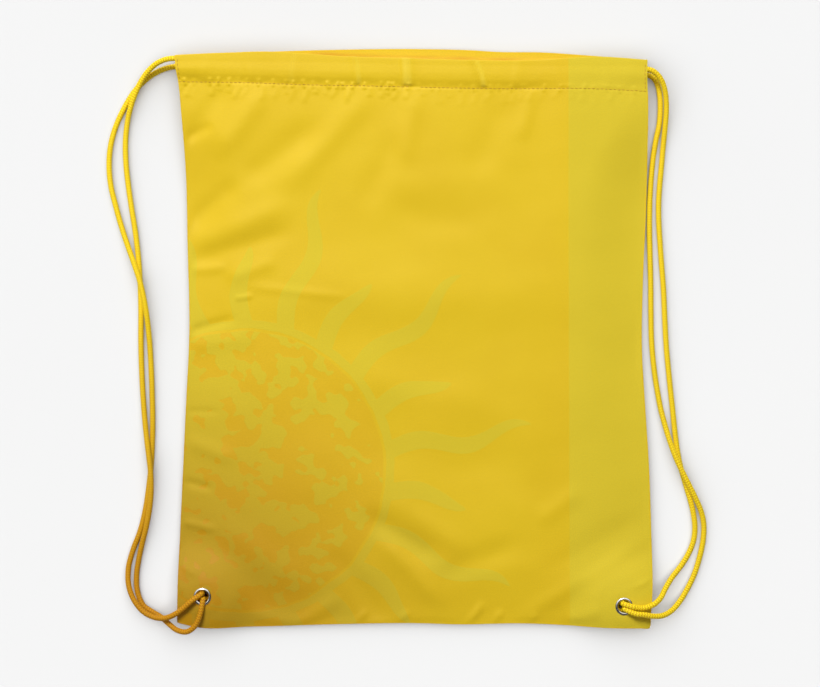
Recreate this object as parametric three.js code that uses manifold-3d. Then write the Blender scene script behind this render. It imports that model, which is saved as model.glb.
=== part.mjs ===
// A drawstring backpack (gym sack) lying flat on its back, mouth slightly open.
// Millimetres. +X is to the right of the bag's front, +Y towards the mouth, +Z up.
// The origin is under the middle of the bag, on the surface that it lies on.
import * as THREE from 'three';
import { mergeVertices } from 'three/addons/utils/BufferGeometryUtils.js';
import Module from 'manifold-3d';

const wasm = await Module();
wasm.setup();

// Driving dimensions.
const clearance = 0.3;              // between pieces that touch
const bag = {
  halfLength: 210,                  // hem to bottom fold is 420
  endHalf: 172,                     // half width at the mouth and at the bottom
  waistHalf: 164.5,                 // half width where the sides draw in most
  waistY: 15,
  cloth: 0.8,                       // thickness of each layer
  frontZ: 11.2,                     // underside of the front where it lies flat
};
const casing = {
  bottomY: 183.3,
  backTopY: 210,
  frontTopY: 206.5,                 // the front hem sags a little below the back one
  height: 5.8,
  wall: 0.7,
  chamfer: 1.2,
  innerEndX: 164,                   // the two facing walls stop here, to let the cord turn round
};
const cordRadius = 2;
const cordSides = 8;
const eyelet = {
  boreRadius: 4.2,
  barrelRadius: 4.9,
  holeRadius: 5.2,                  // punched through both layers
  flangeRadius: 6.4,
  flangeHeight: 0.8,
};
const raised = { height: 10, flatRadius: 12, spread: 18 };   // each corner lies on the knot under its eyelet
const seamHeight = 0.5;
const layerStep = bag.cloth + 2 * clearance + seamHeight;    // from one layer's underside to the other's
const eyeletPlaces = {
  left: new THREE.Vector2(-153.5, -187),
  right: new THREE.Vector2(152, -194),
};
const cornerReach = 22;             // how far the clamped corner of the front layer reaches past its eyelet
const backCordZ = casing.height / 2;
const frontCordZ = bag.frontZ + casing.height / 2;

const materials = {
  cloth: new THREE.MeshStandardMaterial({
    color: 0xe5bd25,
    roughness: 0.6,
    metalness: 0,
    side: THREE.DoubleSide,
  }),
  thread: new THREE.MeshStandardMaterial({ color: 0xc99a1e, roughness: 0.7, metalness: 0 }),
  cord: new THREE.MeshStandardMaterial({ color: 0xf3c41c, roughness: 0.75, metalness: 0 }),
  nickel: new THREE.MeshStandardMaterial({ color: 0xc9c5bc, roughness: 0.25, metalness: 1 }),
};

const group = new THREE.Group();

function add(name, geometry, material) {
  const mesh = new THREE.Mesh(geometry, material);
  mesh.name = name;
  group.add(mesh);
}

// Closed meshes to solids and back, for cuts and joins.
function solidOf(geometry) {
  const bare = geometry.clone();
  bare.deleteAttribute('normal');
  bare.deleteAttribute('uv');
  const merged = mergeVertices(bare, 1e-4);
  return new wasm.Manifold(new wasm.Mesh({
    numProp: 3,
    vertProperties: new Float32Array(merged.attributes.position.array),
    triVerts: new Uint32Array(merged.index.array),
  }));
}

function geometryOf(solid) {
  const mesh = solid.getMesh();
  const geometry = new THREE.BufferGeometry();
  geometry.setAttribute('position', new THREE.BufferAttribute(new Float32Array(mesh.vertProperties), 3));
  geometry.setIndex(new THREE.BufferAttribute(new Uint32Array(mesh.triVerts), 1));
  geometry.computeVertexNormals();
  return geometry;
}

function uprightCylinder(radius, place, lowZ, highZ, sides = 32) {
  const geometry = new THREE.CylinderGeometry(radius, radius, highZ - lowZ, sides);
  geometry.rotateX(Math.PI / 2);
  geometry.translate(place.x, place.y, (lowZ + highZ) / 2);
  return geometry;
}

function smooth(t) {
  const s = THREE.MathUtils.clamp(t, 0, 1);
  return s * s * (3 - 2 * s);
}

// The bag's outline: widest at both ends, drawn in at the waist.
function halfWidth(y) {
  const reach = y > bag.waistY ? bag.halfLength - bag.waistY - 5 : bag.halfLength + bag.waistY - 50;
  const t = Math.min(Math.abs(y - bag.waistY) / reach, 1);
  return bag.waistHalf + (bag.endHalf - bag.waistHalf) * (1 - Math.cos(Math.PI * t)) / 2;
}

// How high the back layer is lifted by the knots under the two eyelets.
function lift(x, y) {
  const heights = Object.values(eyeletPlaces).map((place) => {
    const beyond = Math.max(Math.hypot(x - place.x, y - place.y) - raised.flatRadius, 0);
    const height = raised.height * Math.exp(-(beyond ** 2) / (2 * raised.spread ** 2));
    return height < 0.05 ? 0 : height;
  });
  return Math.max(...heights);
}

// The front layer's underside: flat over the middle, falling to the seams at the sides and bottom.
function frontUnderside(x, y) {
  const sideSlope = THREE.MathUtils.lerp(45, 6, smooth((y - 110) / 65));
  const bottomSlope = 55;
  const rise = smooth((halfWidth(y) - Math.abs(x)) / sideSlope) * smooth((y + bag.halfLength) / bottomSlope);
  const pillow = layerStep + (bag.frontZ - layerStep) * rise;
  return Math.max(pillow, lift(x, y) + layerStep);
}

// A closed sheet over a grid of rows, from the side at share a of the half width to the one at share b.
const rows = [-210, -205, -199, -193, -187, -181, -175, -168, -160, -150, -138, -122, -98, -65, -25,
  15, 55, 90, 112, 128, 142, 154, 164, 173, 183];
const halfColumns = [0.16, 0.32, 0.48, 0.6, 0.7, 0.76, 0.81, 0.85, 0.89, 0.925, 0.955, 0.98, 1];
const columns = [...halfColumns.map((u) => -u).reverse(), 0, ...halfColumns];

function sheet(xAt, columnCount, underside, thickness) {
  const positions = [];
  for (const layer of [0, thickness]) {
    for (const y of rows) {
      for (let c = 0; c < columnCount; c += 1) {
        const x = xAt(c, y);
        positions.push(x, y, underside(x, y) + layer);
      }
    }
  }
  const index = [];
  const layerSize = rows.length * columnCount;
  const at = (r, c, top) => top * layerSize + r * columnCount + c;
  const quad = (a, b, c, d) => index.push(a, b, c, a, c, d);
  for (let r = 0; r < rows.length - 1; r += 1) {
    for (let c = 0; c < columnCount - 1; c += 1) {
      quad(at(r, c, 1), at(r, c + 1, 1), at(r + 1, c + 1, 1), at(r + 1, c, 1));
      quad(at(r, c, 0), at(r + 1, c, 0), at(r + 1, c + 1, 0), at(r, c + 1, 0));
    }
    const last = columnCount - 1;
    quad(at(r, 0, 0), at(r, 0, 1), at(r + 1, 0, 1), at(r + 1, 0, 0));
    quad(at(r, last, 0), at(r + 1, last, 0), at(r + 1, last, 1), at(r, last, 1));
  }
  const top = rows.length - 1;
  for (let c = 0; c < columnCount - 1; c += 1) {
    quad(at(0, c, 0), at(0, c + 1, 0), at(0, c + 1, 1), at(0, c, 1));
    quad(at(top, c, 0), at(top, c, 1), at(top, c + 1, 1), at(top, c + 1, 0));
  }
  const geometry = new THREE.BufferGeometry();
  geometry.setAttribute('position', new THREE.Float32BufferAttribute(positions, 3));
  geometry.setIndex(index);
  return geometry;
}

function panel(underside) {
  return sheet((c, y) => columns[c] * halfWidth(y), columns.length, underside, bag.cloth);
}

// Back and front panels, both punched for the eyelets, which clamp two corners of the front to the back.
const punches = Object.values(eyeletPlaces).map((place) => {
  return solidOf(uprightCylinder(eyelet.holeRadius, place, -1, 30));
});
let backPanel = solidOf(panel(lift));
let frontLayer = solidOf(panel(frontUnderside));
for (const punch of punches) {
  backPanel = backPanel.subtract(punch);
  frontLayer = frontLayer.subtract(punch);
}

// A block over the bag's corner, reaching this far past the eyelet towards the middle.
function cornerBlock(place, reach) {
  const size = 100;
  const block = new THREE.BoxGeometry(size, size, size);
  const outward = Math.sign(place.x);
  block.translate(place.x + outward * (size / 2 - reach), place.y + reach - size / 2, 0);
  return solidOf(block);
}

let frontPanel = frontLayer;
for (const [side, place] of Object.entries(eyeletPlaces)) {
  const corner = frontLayer.intersect(cornerBlock(place, cornerReach));
  add(`front_corner_${side}`, geometryOf(corner), materials.cloth);
  frontPanel = frontPanel.subtract(cornerBlock(place, cornerReach + 2 * clearance));
}
add('back_panel', geometryOf(backPanel), materials.cloth);
add('front_panel', geometryOf(frontPanel), materials.cloth);

// Casings: flattened tubes across the mouth, open at both ends.
function casingSection(lowY, highY, lowZ, highZ, chamfer) {
  return [
    new THREE.Vector2(lowY + chamfer, lowZ),
    new THREE.Vector2(highY - chamfer, lowZ),
    new THREE.Vector2(highY, lowZ + chamfer),
    new THREE.Vector2(highY, highZ - chamfer),
    new THREE.Vector2(highY - chamfer, highZ),
    new THREE.Vector2(lowY + chamfer, highZ),
    new THREE.Vector2(lowY, highZ - chamfer),
    new THREE.Vector2(lowY, lowZ + chamfer),
  ];
}

// Extrudes a section drawn in Y and Z along X, over the bag's whole width.
function alongX(shape, halfSpan) {
  const geometry = new THREE.ExtrudeGeometry(shape, { depth: 2 * halfSpan, bevelEnabled: false, steps: 1 });
  const axes = new THREE.Matrix4().makeBasis(
    new THREE.Vector3(0, 1, 0),
    new THREE.Vector3(0, 0, 1),
    new THREE.Vector3(1, 0, 0),
  );
  geometry.applyMatrix4(axes);
  geometry.translate(-halfSpan, 0, 0);
  return geometry;
}

function casingTube(topY, lowZ, innerWallZ) {
  const { bottomY, height, wall, chamfer, innerEndX } = casing;
  const shape = new THREE.Shape(casingSection(bottomY, topY, lowZ, lowZ + height, chamfer));
  const innerTopZ = lowZ + height - wall;
  const hollow = casingSection(bottomY + wall, topY - wall, lowZ + wall, innerTopZ, chamfer - wall / 2);
  shape.holes.push(new THREE.Path(hollow));
  let tube = solidOf(alongX(shape, bag.endHalf));
  const cutLength = 20;
  const margin = 2 * chamfer;
  for (const side of [-1, 1]) {
    const cut = new THREE.BoxGeometry(cutLength, topY - bottomY - 2 * margin, 2 * wall);
    cut.translate(side * (innerEndX + cutLength / 2), (topY + bottomY) / 2, innerWallZ);
    tube = tube.subtract(solidOf(cut));
  }
  return geometryOf(tube);
}

add('back_casing', casingTube(casing.backTopY, 0, casing.height), materials.cloth);
add('front_casing', casingTube(casing.frontTopY, bag.frontZ, bag.frontZ), materials.cloth);

// Hem threads just below each casing, on the face of the cloth that is towards the viewer.
function hemThread(lowZ) {
  const halfSpan = 158;
  const line = new THREE.Shape();
  line.absellipse(181, lowZ + seamHeight / 2, 0.45, seamHeight / 2, 0, 2 * Math.PI);
  return alongX(new THREE.Shape(line.getPoints(3)), halfSpan);
}

add('back_hem_thread', hemThread(bag.cloth + clearance), materials.thread);
add('front_hem_thread', hemThread(bag.frontZ + bag.cloth + clearance), materials.thread);

// Side seams, between the edges of the two panels.
for (const [name, sign] of [['left', -1], ['right', 1]]) {
  const inset = [1.4, 3.4];
  const order = sign < 0 ? inset : [...inset].reverse();
  const xAt = (c, y) => sign * (halfWidth(y) - order[c]);
  const underside = (x, y) => lift(x, y) + bag.cloth + clearance;
  add(`side_seam_${name}`, sheet(xAt, 2, underside, seamHeight), materials.thread);
}

// Eyelets, the washers they are rolled over, and the knots under them.
const eyeletTopZ = raised.height + layerStep + bag.cloth + clearance;
const washerTopZ = raised.height - clearance;
const washerLowZ = washerTopZ - eyelet.flangeHeight;
const knot = { halfX: 7, halfY: 5.5, stemRadius: 3.6 };

function lathe(profile, place) {
  const points = profile.map(([r, z]) => new THREE.Vector2(r, z));
  const geometry = new THREE.LatheGeometry([...points, points[0]], 24);
  geometry.rotateX(Math.PI / 2);
  geometry.translate(place.x, place.y, 0);
  return geometry;
}

function eyeletShell(place) {
  const { boreRadius, barrelRadius, flangeRadius, flangeHeight } = eyelet;
  const rolled = flangeHeight / 2;
  return lathe([
    [boreRadius, washerLowZ],
    [barrelRadius, washerLowZ],
    [barrelRadius, eyeletTopZ],
    [flangeRadius, eyeletTopZ],
    [flangeRadius, eyeletTopZ + rolled],
    [flangeRadius - rolled, eyeletTopZ + flangeHeight],
    [boreRadius + rolled, eyeletTopZ + flangeHeight],
    [boreRadius, eyeletTopZ + rolled],
  ], place);
}

function washer(place) {
  return lathe([
    [eyelet.holeRadius, washerLowZ],
    [eyelet.flangeRadius, washerLowZ],
    [eyelet.flangeRadius, washerTopZ],
    [eyelet.holeRadius, washerTopZ],
  ], place);
}

function knotSolid(place) {
  const halfZ = (washerLowZ - clearance) / 2;
  const ball = new THREE.SphereGeometry(1, 16, 12);
  ball.scale(knot.halfX, knot.halfY, halfZ);
  ball.translate(place.x, place.y, halfZ);
  const stem = uprightCylinder(knot.stemRadius, place, halfZ, eyeletTopZ, 16);
  return geometryOf(solidOf(ball).add(solidOf(stem)));
}

for (const [side, place] of Object.entries(eyeletPlaces)) {
  add(`eyelet_${side}`, eyeletShell(place), materials.nickel);
  add(`washer_${side}`, washer(place), materials.nickel);
  add(`${side}_knot`, knotSolid(place), materials.cord);
}

// Cords. Each is one loop: out of its eyelet, through the back casing, round the far end,
// back through the front casing and down to the eyelet again.
const cordSection = new THREE.Shape(Array.from({ length: cordSides }, (_, i) => {
  const turn = (i + 0.5) * 2 * Math.PI / cordSides;
  return new THREE.Vector2(cordRadius * Math.cos(turn), cordRadius * Math.sin(turn));
}));

function cordAlong(curve, steps) {
  return new THREE.ExtrudeGeometry(cordSection, { steps, extrudePath: curve });
}

function throughPoints(points) {
  return new THREE.CatmullRomCurve3(points.map((p) => new THREE.Vector3(...p)), false, 'centripetal');
}

// Where each cord runs inside the casings, and the side that its strands leave from.
const cords = {
  left: { exit: -1, frontY: 202.5, backY: 199 },
  right: { exit: 1, frontY: 195, backY: 192 },
};

function straightRun(y, z) {
  const end = casing.innerEndX - clearance;
  return cordAlong(new THREE.LineCurve3(new THREE.Vector3(-end, y, z), new THREE.Vector3(end, y, z)), 1);
}

// The half turn at the far end, from the front casing down into the back one.
function bight({ exit, frontY, backY }) {
  const radius = (frontCordZ - backCordZ) / 2;
  const middleZ = (frontCordZ + backCordZ) / 2;
  const startX = casing.innerEndX + clearance;
  const lead = 0.8;
  const turnSteps = 8;
  const points = [[-exit * startX, frontY, frontCordZ]];
  for (let i = 0; i <= turnSteps; i += 1) {
    const turn = Math.PI * i / turnSteps;
    points.push([
      -exit * (startX + lead + radius * 0.8 * Math.sin(turn)),
      THREE.MathUtils.lerp(frontY, backY, smooth(i / turnSteps)),
      middleZ + radius * Math.cos(turn),
    ]);
  }
  points.push([-exit * startX, backY, backCordZ]);
  return cordAlong(throughPoints(points), 16);
}

// The routes of the four strands outside the bag, from the casing's end to the eyelet.
const strandRoutes = {
  left_front: [
    [-164.2, 202.5, 14.1], [-169, 202.6, 14.1], [-173.8, 202.9, 13.9], [-179.6, 202.5, 12.8],
    [-186.7, 200, 10.6], [-193.5, 194.5, 8.4], [-199.1, 186.7, 7], [-203.2, 178, 6.3], [-206.5, 169.2, 4.8],
    [-209.2, 159, 2.8], [-210.9, 145.1, 2], [-210.6, 128.6, 2], [-208.9, 113, 2], [-206.4, 95.4, 2],
    [-203.4, 77.3, 2], [-201.2, 58.3, 2], [-200, 40.2, 2], [-199.4, 22.1, 2], [-199.6, -2, 2],
    [-198.8, -28.1, 2], [-197.1, -54.2, 2.2], [-195.3, -70.2, 4], [-193.5, -83.1, 6.1],
    [-191.7, -97.1, 6.7], [-191.4, -111.1, 6.5], [-192.5, -123.2, 6.1], [-195, -136.8, 5.2],
    [-198.2, -148.4, 3.6], [-201, -160.6, 2.5], [-202.9, -172.7, 2], [-202.4, -184.8, 2],
    [-198.2, -195.2, 2.1], [-190.9, -199.5, 2.6], [-183.9, -203.2, 3.9], [-178.3, -207.8, 6.8],
    [-171.9, -212, 10.6], [-164.4, -212.8, 13.3], [-158.3, -208.2, 14.8], [-155, -199.9, 15.8],
    [-152.5, -191.5, 16.6],
  ],
  left_back: [
    [-164.2, 199, 2.9], [-169, 198.9, 2.9], [-174.2, 198.6, 2.9], [-181.9, 197.1, 2.6],
    [-189.8, 193.6, 2.1], [-197.8, 187.6, 2], [-204.7, 180, 2], [-210.3, 170.9, 2], [-215.5, 160.7, 2],
    [-219.5, 150.2, 2], [-222.1, 138.6, 2], [-222.9, 126.5, 2], [-221.7, 111.5, 2], [-218.3, 98.2, 2],
    [-214.1, 82.8, 2.2], [-209, 67.8, 3.4], [-203.9, 54.5, 5.7], [-199.8, 42.4, 6.7], [-197, 30.8, 6.6],
    [-194.9, 18, 5.6], [-193.5, 4, 3.6], [-192.5, -11, 2.2], [-191.3, -38.1, 2], [-190.8, -66.3, 2],
    [-191.8, -91.4, 2], [-194.2, -112.5, 2], [-196.4, -126.5, 2], [-200, -141, 2], [-205.4, -154.2, 2.1],
    [-208.9, -167.6, 2.6], [-208.4, -180, 4.4], [-204.2, -190.6, 6.2], [-197.1, -199.1, 7.1],
    [-188.6, -203, 8.2], [-180.1, -203, 10.8], [-173.3, -199.8, 13.6], [-166.6, -194.8, 15.2],
    [-160.5, -189.3, 16.1], [-155.6, -185.3, 16.8],
  ],
  right_front: [
    [164.2, 195, 14.1], [168, 195, 14.1], [172.4, 194.1, 13.9], [176.6, 190.9, 12.9], [179.8, 186.4, 11.5],
    [182, 180.4, 9.8], [183.2, 173, 8], [183.4, 163.6, 6.3], [182.7, 152.8, 4.6], [181.7, 141.2, 2.5],
    [180.5, 126.5, 2], [179.2, 113, 2], [178.3, 99, 2], [178.4, 85, 2], [179.3, 71, 2], [180.4, 55.2, 2],
    [182, 36.2, 2], [182.8, 15.1, 2], [183.9, -6, 2], [186.2, -30.1, 2], [188.6, -52.2, 2],
    [190.8, -73.3, 2], [193.2, -89, 2], [195.4, -97.4, 2], [198, -106.4, 2], [201.3, -117, 2],
    [203.9, -127.9, 2], [205.1, -138.1, 2], [204.1, -147.6, 2], [200.3, -157.1, 2], [194.6, -166.1, 2.6],
    [187.6, -174.2, 4.4], [182.6, -181.6, 7.4], [179.2, -187.6, 11.4], [174.4, -192, 14.4],
    [168.4, -194.6, 15], [162.6, -195, 15.2], [157.4, -193.8, 16.2], [152.8, -191.9, 16.9],
  ],
  right_back: [
    [164.2, 192, 2.9], [167.5, 192.4, 2.9], [171.3, 192.2, 2.8], [174.9, 190, 2.5], [177.6, 185.6, 2.1],
    [179.2, 178.6, 2], [179.7, 167, 2], [178.9, 155.4, 2], [176.5, 145.6, 2], [174.4, 132.6, 2],
    [172.9, 117.5, 2], [171.8, 99.4, 2], [171.6, 79.4, 2], [172.1, 60.3, 2], [172.6, 40.2, 2],
    [172.7, 20.1, 2], [173.1, -3, 2], [175, -22.6, 2], [177.2, -37.1, 2], [179.7, -51.2, 2.2],
    [183.2, -64.6, 3.4], [186.7, -76.7, 5.4], [190.5, -87.1, 6.6], [194.6, -96.1, 6.7],
    [199.2, -105.1, 6.5], [204.6, -115.6, 5.2], [209.3, -125.8, 3.2], [211.5, -135.1, 2.1],
    [211.1, -146.6, 2], [208.7, -158.3, 2], [204.9, -171.3, 2], [199.2, -183, 2.4], [193, -192.6, 4],
    [186.6, -198.6, 7.6], [179.6, -201.2, 12], [172.4, -201, 14.8], [166, -199.5, 16.4],
    [160, -198.9, 16.5], [154.6, -197.6, 16.8],
  ],
};
const strandSteps = 62;

for (const [side, cord] of Object.entries(cords)) {
  add(`${side}_cord_front_run`, straightRun(cord.frontY, frontCordZ), materials.cord);
  add(`${side}_cord_back_run`, straightRun(cord.backY, backCordZ), materials.cord);
  add(`${side}_cord_bight`, bight(cord), materials.cord);
  for (const face of ['front', 'back']) {
    const route = throughPoints(strandRoutes[`${side}_${face}`]);
    add(`${side}_cord_${face}_strand`, cordAlong(route, strandSteps), materials.cord);
  }
}

export default group;
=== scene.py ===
"""A drawstring backpack lying flat on a pale floor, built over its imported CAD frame.

Lengths in the helper functions are millimetres, in the frame's own axes, and are turned into metres where a
mesh is made.
"""
import math

import bmesh
import bpy
import numpy as np
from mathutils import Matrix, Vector


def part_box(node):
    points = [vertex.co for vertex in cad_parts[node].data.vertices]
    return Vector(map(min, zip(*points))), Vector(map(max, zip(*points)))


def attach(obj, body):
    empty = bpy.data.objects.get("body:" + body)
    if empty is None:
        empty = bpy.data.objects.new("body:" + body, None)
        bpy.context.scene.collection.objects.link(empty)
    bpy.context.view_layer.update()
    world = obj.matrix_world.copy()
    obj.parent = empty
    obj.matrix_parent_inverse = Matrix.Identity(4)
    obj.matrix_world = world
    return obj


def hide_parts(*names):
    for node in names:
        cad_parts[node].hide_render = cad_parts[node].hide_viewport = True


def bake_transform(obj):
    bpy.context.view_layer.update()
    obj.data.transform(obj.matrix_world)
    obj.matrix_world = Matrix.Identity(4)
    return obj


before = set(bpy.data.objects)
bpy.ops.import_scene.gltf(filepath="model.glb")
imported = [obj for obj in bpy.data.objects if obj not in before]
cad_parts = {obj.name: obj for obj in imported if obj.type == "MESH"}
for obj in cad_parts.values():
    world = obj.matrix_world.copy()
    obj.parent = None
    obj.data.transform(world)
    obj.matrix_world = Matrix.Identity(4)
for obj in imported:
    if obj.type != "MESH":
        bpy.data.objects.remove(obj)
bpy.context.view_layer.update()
MM = 0.001


def node_box(name):
    """A CAD node's lowest and highest corners, in millimetres."""
    low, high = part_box(name)
    return np.array(low) / MM, np.array(high) / MM


def node_centre(name):
    low, high = node_box(name)
    return (low + high) / 2


# ---------------------------------------------------------------- sizes

CLOTH = 0.25            # the cloth's thickness
CORD_RADIUS = 2.0
EYELETS = {side: node_centre(f"eyelet_{side}")[:2] for side in ("left", "right")}
EYELET_TOP = node_box("eyelet_left")[1][2]
EYELET_LOW = node_box("eyelet_left")[0][2]
CORNER_ABOVE_LIFT = 2.7
LIFT_HEIGHT = node_box("front_corner_left")[1][2] - CORNER_ABOVE_LIFT
LIFT_FLAT = 12.0        # within this distance of an eyelet its knot holds the cloth level
LIFT_SPREAD = 18.0
BACK_CASING_TOP = node_box("back_casing")[1][2]
RUNS = {
    (side, face): node_centre(f"{side}_cord_{face}_run")
    for side in ("left", "right")
    for face in ("front", "back")
}


def through(points):
    """A smooth function of one number through these points, which are in rising order."""
    places, values = np.array(points, float).T
    slopes = np.gradient(values, places)

    def at(x):
        x = np.clip(x, places[0], places[-1])
        i = np.clip(np.searchsorted(places, x) - 1, 0, len(places) - 2)
        span = places[i + 1] - places[i]
        t = (x - places[i]) / span
        start = (2 * t**3 - 3 * t**2 + 1) * values[i] + (t**3 - 2 * t**2 + t) * span * slopes[i]
        end = (-2 * t**3 + 3 * t**2) * values[i + 1] + (t**3 - t**2) * span * slopes[i + 1]
        return start + end

    return at


# The bag's outline, and the stitched line under the front casing.
left_edge = through([(-208, -172.2), (-150, -170.9), (-105, -168.9), (-50, -166.4), (5, -163.9), (70, -165.2),
                     (130, -166.6), (162, -168.8), (186, -171), (194, -172.4), (206, -173.2)])
right_edge = through([(-210, 171), (-181, 173), (-130, 172.4), (-94, 171.1), (-50, 168.3), (-7, 165.9),
                      (43, 166.7), (99, 169.1), (140, 169.4), (178, 169), (187, 168.5), (203, 168.5)])
EDGES = {"left": left_edge, "right": right_edge}
bottom_edge = through([(-172, -206), (-158, -209.3), (-120, -209.8), (-60, -208.2), (5, -207.4), (31, -208.2),
                       (77, -207.5), (140, -210), (171, -210.4)])
front_top = through([(-173, 204.9), (-131, 206.9), (-102, 207.6), (-80, 206.4), (-50, 204.3), (-9, 203),
                     (32, 201.8), (68, 201.2), (96, 201.7), (118, 203.2), (135, 203.9), (169, 201.6)])
back_top = through([(-173, 206.6), (-131, 208.4), (-102, 209.4), (-50, 210.8), (8, 211.2), (45, 210.3),
                    (62, 209.2), (95, 208.8), (134, 206.2), (169, 203.4)])
stitch_line = through([(-172, 186), (-120, 185.2), (-73, 183.6), (-27, 182.8), (20, 181.6), (60, 181),
                       (134, 180.6), (169, 178.8)])


def smooth(t):
    """Rises smoothly from 0 to 1 as t does."""
    t = np.clip(t, 0, 1)
    return t * t * (3 - 2 * t)


def larger(a, b, softness=1.0):
    """The larger of two heights, with the corner between them rounded."""
    return (a + b + np.sqrt((a - b) ** 2 + softness**2)) / 2


# ---------------------------------------------------------------- meshes

def make_mesh(name, vertices, faces, material):
    mesh = bpy.data.meshes.new(name)
    mesh.from_pydata((np.asarray(vertices, float) * MM).tolist(), [], faces)
    mesh.update()
    mesh.polygons.foreach_set("use_smooth", [True] * len(mesh.polygons))
    piece = bpy.data.objects.new(name, mesh)
    bpy.context.scene.collection.objects.link(piece)
    mesh.materials.append(material)
    return piece


def float_attribute(piece, name, values):
    """Keeps one number for each vertex, for a material to read."""
    attribute = piece.data.attributes.new(name, "FLOAT", "POINT")
    attribute.data.foreach_set("value", np.asarray(values, np.float32).ravel())


def vector_attribute(piece, name, values):
    """Keeps one vector for each vertex, for a material to read."""
    attribute = piece.data.attributes.new(name, "FLOAT_VECTOR", "POINT")
    attribute.data.foreach_set("vector", np.asarray(values, np.float32).ravel())


def grid_normals(points):
    """Unit normals of a grid of points, (rows, columns, 3), facing up where its columns run towards +X."""
    along_rows = np.gradient(points, axis=0)
    along_columns = np.gradient(points, axis=1)
    normals = np.cross(along_columns, along_rows)
    return normals / np.maximum(np.linalg.norm(normals, axis=2, keepdims=True), 1e-9)


def cloth_piece(name, points, normals, flat, face, lining):
    """A sheet of cloth with real thickness over a grid of points.

    flat holds each point's place on the flat cloth. face and lining are the materials of its two sides.
    """
    rows, columns = points.shape[:2]
    layers = [points + normals * CLOTH / 2, points - normals * CLOTH / 2]
    vertices = np.concatenate([layer.reshape(-1, 3) for layer in layers])
    size = rows * columns
    index = np.arange(size).reshape(rows, columns)
    a, b, c, d = index[:-1, :-1], index[:-1, 1:], index[1:, 1:], index[1:, :-1]
    faces = np.stack([a, b, c, d], axis=-1).reshape(-1, 4).tolist()
    faces += np.stack([d + size, c + size, b + size, a + size], axis=-1).reshape(-1, 4).tolist()
    for rim in (index[0, ::-1], index[-1, :], index[:, 0], index[::-1, -1]):
        p, q = rim[:-1], rim[1:]
        faces += np.stack([p, q, q + size, p + size], axis=-1).tolist()
    piece = make_mesh(name, vertices, faces, face)
    piece.data.materials.append(lining)
    outside = (rows - 1) * (columns - 1)
    piece.data.polygons.foreach_set("material_index", [0] * outside + [1] * (len(faces) - outside))
    both = np.concatenate([normals.reshape(-1, 3), -normals.reshape(-1, 3)])
    piece.data.normals_split_custom_set_from_vertices(both.tolist())
    vector_attribute(piece, "rest", np.concatenate([flat.reshape(-1, 3)] * 2))
    return piece


def smooth_path(points, step):
    """A centripetal Catmull-Rom curve through points, resampled every step millimetres."""
    p = np.array(points, float)
    p = np.vstack([2 * p[0] - p[1], p, 2 * p[-1] - p[-2]])
    knots = np.concatenate([[0], np.cumsum(np.linalg.norm(np.diff(p, axis=0), axis=1) ** 0.5)])
    fine = []
    for i in range(1, len(p) - 2):
        t0, t1, t2, t3 = knots[i - 1 : i + 3]
        t = np.linspace(t1, t2, 24, endpoint=False)[:, None]
        a1 = (t1 - t) / (t1 - t0) * p[i - 1] + (t - t0) / (t1 - t0) * p[i]
        a2 = (t2 - t) / (t2 - t1) * p[i] + (t - t1) / (t2 - t1) * p[i + 1]
        a3 = (t3 - t) / (t3 - t2) * p[i + 1] + (t - t2) / (t3 - t2) * p[i + 2]
        b1 = (t2 - t) / (t2 - t0) * a1 + (t - t0) / (t2 - t0) * a2
        b2 = (t3 - t) / (t3 - t1) * a2 + (t - t1) / (t3 - t1) * a3
        fine.append((t2 - t) / (t2 - t1) * b1 + (t - t1) / (t2 - t1) * b2)
    fine = np.vstack(fine + [p[-2:-1]])
    lengths = np.concatenate([[0], np.cumsum(np.linalg.norm(np.diff(fine, axis=0), axis=1))])
    count = max(int(round(lengths[-1] / step)), 2)
    even = np.linspace(0, lengths[-1], count + 1)
    return np.stack([np.interp(even, lengths, fine[:, k]) for k in range(3)], axis=1), lengths[-1]


def carried_frames(path):
    """Two directions across the path at each point, carried along it without twisting."""
    tangents = np.gradient(path, axis=0)
    tangents /= np.linalg.norm(tangents, axis=1, keepdims=True)
    helper = np.array([0, 0, 1.0]) if abs(tangents[0][2]) < 0.9 else np.array([1.0, 0, 0])
    side = np.cross(helper, tangents[0])
    sides = [side / np.linalg.norm(side)]
    for tangent in tangents[1:]:
        side = sides[-1] - tangent * np.dot(sides[-1], tangent)
        sides.append(side / np.linalg.norm(side))
    sides = np.array(sides)
    return sides, np.cross(tangents, sides)


BRAID_STRANDS = 6      # in each direction
BRAID_LEAD = 11.6      # how far a strand runs in one turn
BRAID_RELIEF = 0.3
TIP_LENGTH = 1.6       # a sealed end is rounded over this length
BRAID_STEP = 0.36
BRAID_SIDES = 24
HIDDEN_STEP = 0.6      # the same for cords inside a casing, which hardly show
HIDDEN_SIDES = 16


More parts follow.
